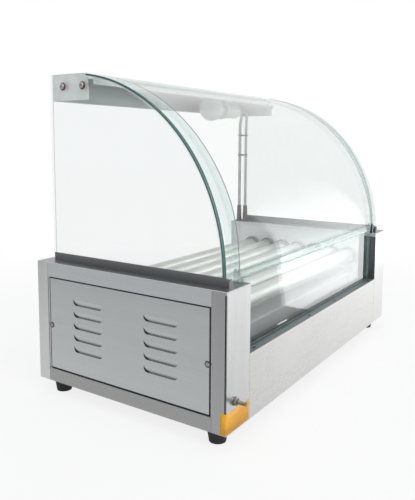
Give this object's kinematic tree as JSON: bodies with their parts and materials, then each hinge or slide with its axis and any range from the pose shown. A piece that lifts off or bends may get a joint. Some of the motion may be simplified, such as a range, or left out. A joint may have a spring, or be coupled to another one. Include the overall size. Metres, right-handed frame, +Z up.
{
  "type": "roller grill",
  "caption": "Stainless steel countertop roller grill with chain-driven heated rollers, a drip tray and a curved glass hood with a lamp.",
  "frame": {"origin": "on the surface that the feet stand on, midway along the length and across the depth", "axes": "+X runs along the rollers, away from the end with the chain drive; -Y faces the curved glass, +Y faces the operator and the controls; +Z is up"},
  "size_m": [0.58, 0.346, 0.448],
  "materials": {
    "stainless": "brushed",
    "pan_steel": "dull",
    "tray_steel": "satin",
    "roller_steel": "polished",
    "ring_plastic": "matte",
    "drive_steel": "oiled",
    "motor_case": "satin",
    "element_sheath": "dull",
    "hood_glass": "clear",
    "dark_channel": "satin",
    "clip_steel": "satin",
    "frosted_bulb": "frosted",
    "pale_ceramic": "glazed",
    "grey_cable": "matte",
    "black_rubber": "matte",
    "thermostat_metal": "dull",
    "black_plastic": "satin",
    "rocker_plastic": "gloss",
    "lamp_lens": "translucent",
    "stud_brass": "bright"
  },
  "bodies": {
    "machine": {"base_pan": "pan_steel", "bearing_rings": "ring_plastic", "bonding_stud": "stud_brass", "bottom_rails": "stainless", "cable_grommet": "black_rubber", "control_panel": "stainless", "cord_gland": "black_plastic", "curved_glass": "hood_glass", "drive_chain": "drive_steel", "element_brackets": "pan_steel", "feet": "black_rubber", "front_left_post": "stainless", "front_panel": "stainless", "front_right_post": "stainless", "gearmotor": "motor_case", "glass_channels": "dark_channel", "glass_clips": "clip_steel", "heating_elements": "element_sheath", "indicator_lamps": "lamp_lens", "lamp_bulb": "frosted_bulb", "lamp_cable": "grey_cable", "lamp_holder": "pale_ceramic", "left_inner_wall": "stainless", "left_service_panel": "stainless", "left_side_glass": "hood_glass", "left_top_cover": "stainless", "lower_front_glass": "hood_glass", "rear_left_post": "stainless", "rear_right_post": "stainless", "right_inner_wall": "stainless", "right_service_panel": "stainless", "right_side_glass": "hood_glass", "right_top_cover": "stainless", "roof_bar": "stainless", "switch_bodies": "black_plastic", "terminal_block": "pale_ceramic", "thermostats": "thermostat_metal", "tray_guides": "stainless"},
    "roller_1_body": {"roller_1": "roller_steel", "sprocket_1": "drive_steel"},
    "roller_2_body": {"roller_2": "roller_steel", "sprocket_2": "drive_steel"},
    "roller_3_body": {"roller_3": "roller_steel", "sprocket_3": "drive_steel"},
    "roller_4_body": {"roller_4": "roller_steel", "sprocket_4": "drive_steel"},
    "roller_5_body": {"roller_5": "roller_steel", "sprocket_5": "drive_steel"},
    "roller_6_body": {"roller_6": "roller_steel", "sprocket_6": "drive_steel"},
    "roller_7_body": {"roller_7": "roller_steel", "sprocket_7": "drive_steel"},
    "motor_drive": {"motor_shaft": "drive_steel", "motor_sprocket": "drive_steel"},
    "tray": {"drip_tray": "tray_steel"},
    "front_zone_control": {"front_zone_knob": "black_plastic"},
    "rear_zone_control": {"rear_zone_knob": "black_plastic"},
    "roller_rocker": {"roller_switch": "rocker_plastic"},
    "lamp_rocker": {"lamp_switch": "rocker_plastic"}
  },
  "joints": [
    {"name": "roller_1_spin", "type": "hinge", "parent": "machine", "child": "roller_1_body", "pos_m": [0, 0.10477, 0.144], "axis": [1, 0, 0], "continuous": true, "deforming": ["drive_chain"]},
    {"name": "roller_2_spin", "type": "hinge", "parent": "machine", "child": "roller_2_body", "pos_m": [0, 0.06985, 0.144], "axis": [1, 0, 0], "continuous": true},
    {"name": "roller_3_spin", "type": "hinge", "parent": "machine", "child": "roller_3_body", "pos_m": [0, 0.03492, 0.144], "axis": [1, 0, 0], "continuous": true},
    {"name": "roller_4_spin", "type": "hinge", "parent": "machine", "child": "roller_4_body", "pos_m": [0, 0, 0.144], "axis": [1, 0, 0], "continuous": true},
    {"name": "roller_5_spin", "type": "hinge", "parent": "machine", "child": "roller_5_body", "pos_m": [0, -0.03492, 0.144], "axis": [1, 0, 0], "continuous": true},
    {"name": "roller_6_spin", "type": "hinge", "parent": "machine", "child": "roller_6_body", "pos_m": [0, -0.06985, 0.144], "axis": [1, 0, 0], "continuous": true},
    {"name": "roller_7_spin", "type": "hinge", "parent": "machine", "child": "roller_7_body", "pos_m": [0, -0.10477, 0.144], "axis": [1, 0, 0], "continuous": true},
    {"name": "motor_spin", "type": "hinge", "parent": "machine", "child": "motor_drive", "pos_m": [-0.256, 0, 0.06151], "axis": [1, 0, 0], "continuous": true},
    {"name": "tray_slide", "type": "slide", "parent": "machine", "child": "tray", "axis": [0, 1, 0], "range_m": [0, 0.18]},
    {"name": "front_zone_turn", "type": "hinge", "parent": "machine", "child": "front_zone_control", "pos_m": [-0.11, 0.157, 0.053], "axis": [0, -1, 0], "range_deg": [0, 270]},
    {"name": "rear_zone_turn", "type": "hinge", "parent": "machine", "child": "rear_zone_control", "pos_m": [0.11, 0.157, 0.053], "axis": [0, -1, 0], "range_deg": [0, 270]},
    {"name": "roller_rock", "type": "hinge", "parent": "machine", "child": "roller_rocker", "pos_m": [-0.022, 0.155, 0.053], "axis": [-1, 0, 0], "range_deg": [0, 16]},
    {"name": "lamp_rock", "type": "hinge", "parent": "machine", "child": "lamp_rocker", "pos_m": [0.022, 0.155, 0.053], "axis": [-1, 0, 0], "range_deg": [0, 16]}
  ],
  "couplings": [
    {"joint": "roller_2_spin", "follows": "roller_1_spin", "ratio": 1},
    {"joint": "roller_3_spin", "follows": "roller_1_spin", "ratio": 1},
    {"joint": "roller_4_spin", "follows": "roller_1_spin", "ratio": 1},
    {"joint": "roller_5_spin", "follows": "roller_1_spin", "ratio": 1},
    {"joint": "roller_6_spin", "follows": "roller_1_spin", "ratio": 1},
    {"joint": "roller_7_spin", "follows": "roller_1_spin", "ratio": 1},
    {"joint": "motor_spin", "follows": "roller_1_spin", "ratio": 1}
  ]
}
